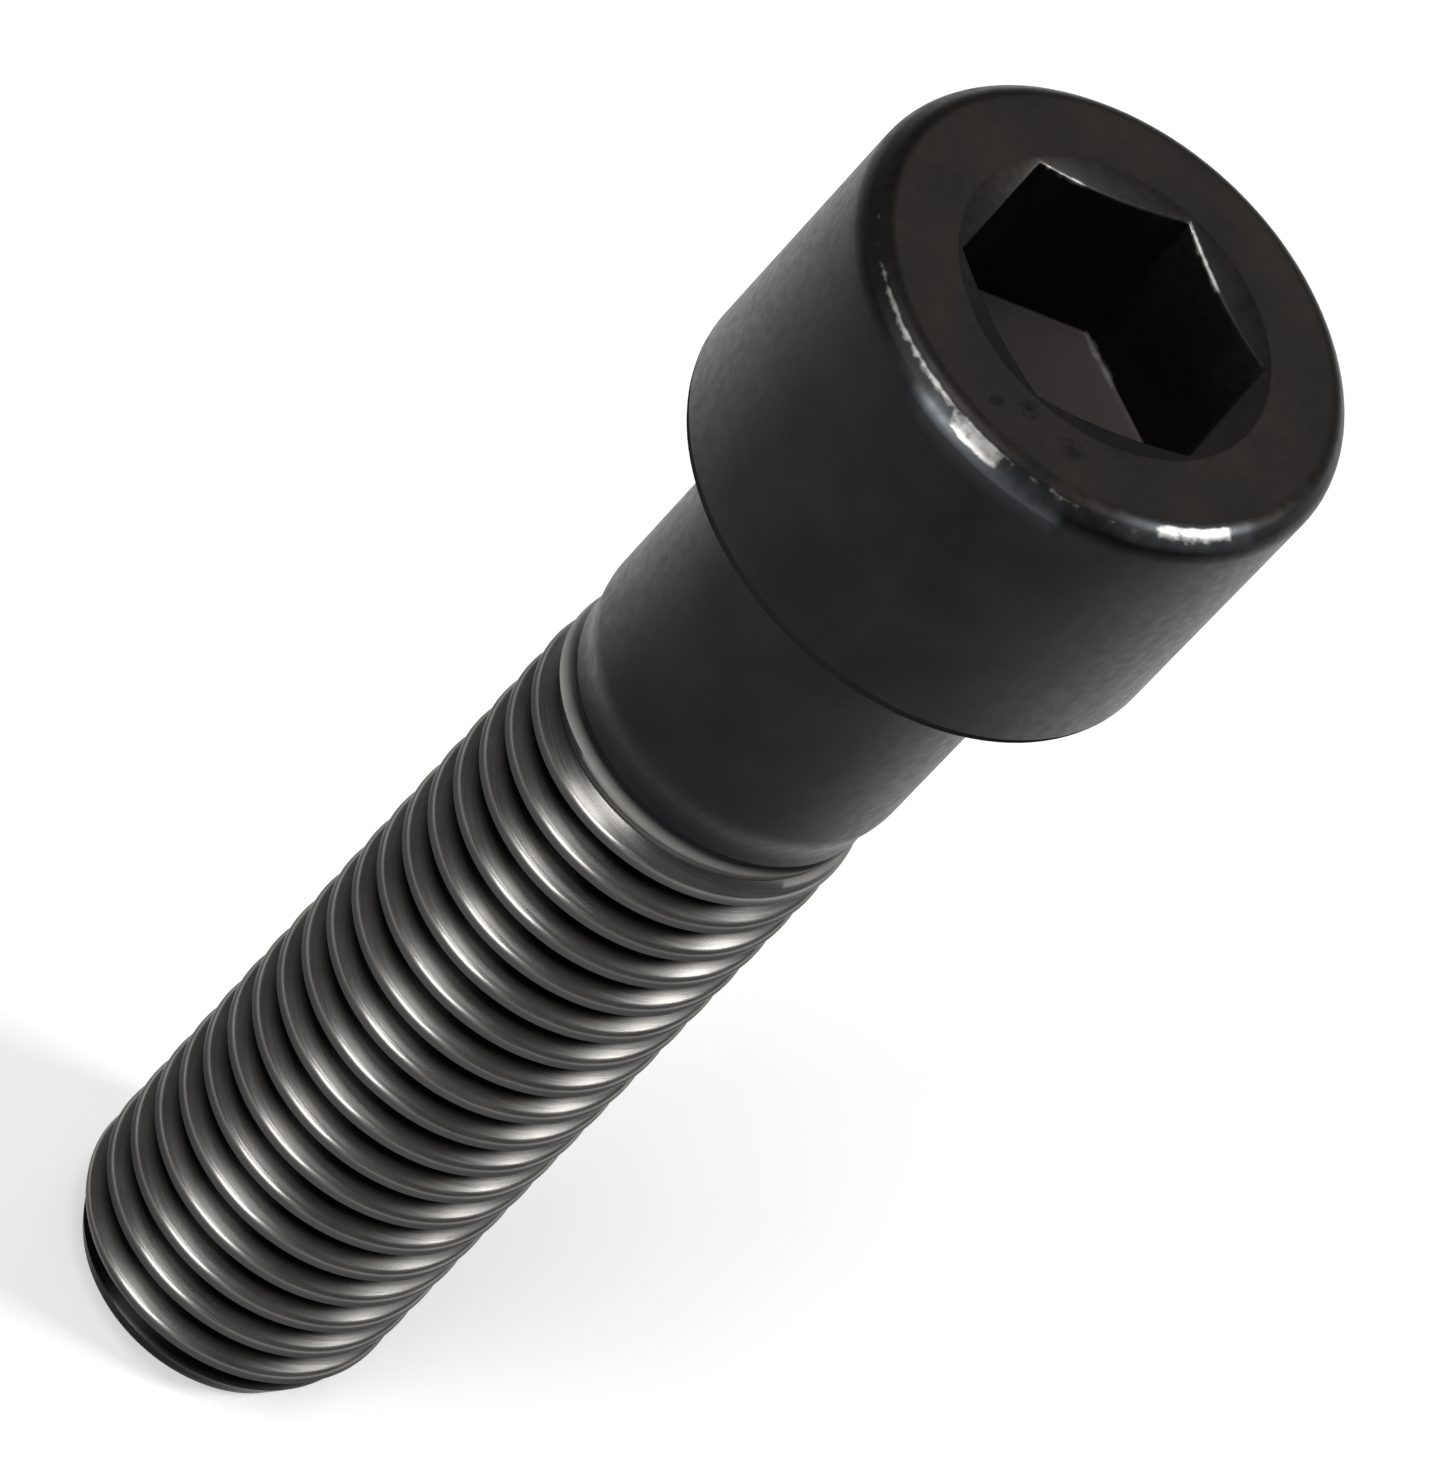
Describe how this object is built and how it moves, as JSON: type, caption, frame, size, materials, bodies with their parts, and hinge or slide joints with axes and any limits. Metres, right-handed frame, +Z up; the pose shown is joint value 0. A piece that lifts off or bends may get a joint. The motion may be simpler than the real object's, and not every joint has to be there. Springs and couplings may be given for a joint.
{
  "type": "socket head cap screw",
  "caption": "Black-oxide socket head cap screw with a plain head, a hexagon socket, a plain body and a rolled coarse thread, standing on its point.",
  "frame": {"origin": "centre of the flat end of the screw's point, on the surface that it stands on", "axes": "+Z up the screw's axis from the point to the head, +X square to a flat of the hexagon socket"},
  "size_m": [0.0238, 0.0238, 0.0794],
  "materials": {
    "black_oxide_steel": "black oxide on forged and rolled alloy steel, oiled, worn bright on its edges"
  },
  "bodies": {
    "root": {"cap_screw": "black_oxide_steel"}
  },
  "joints": []
}
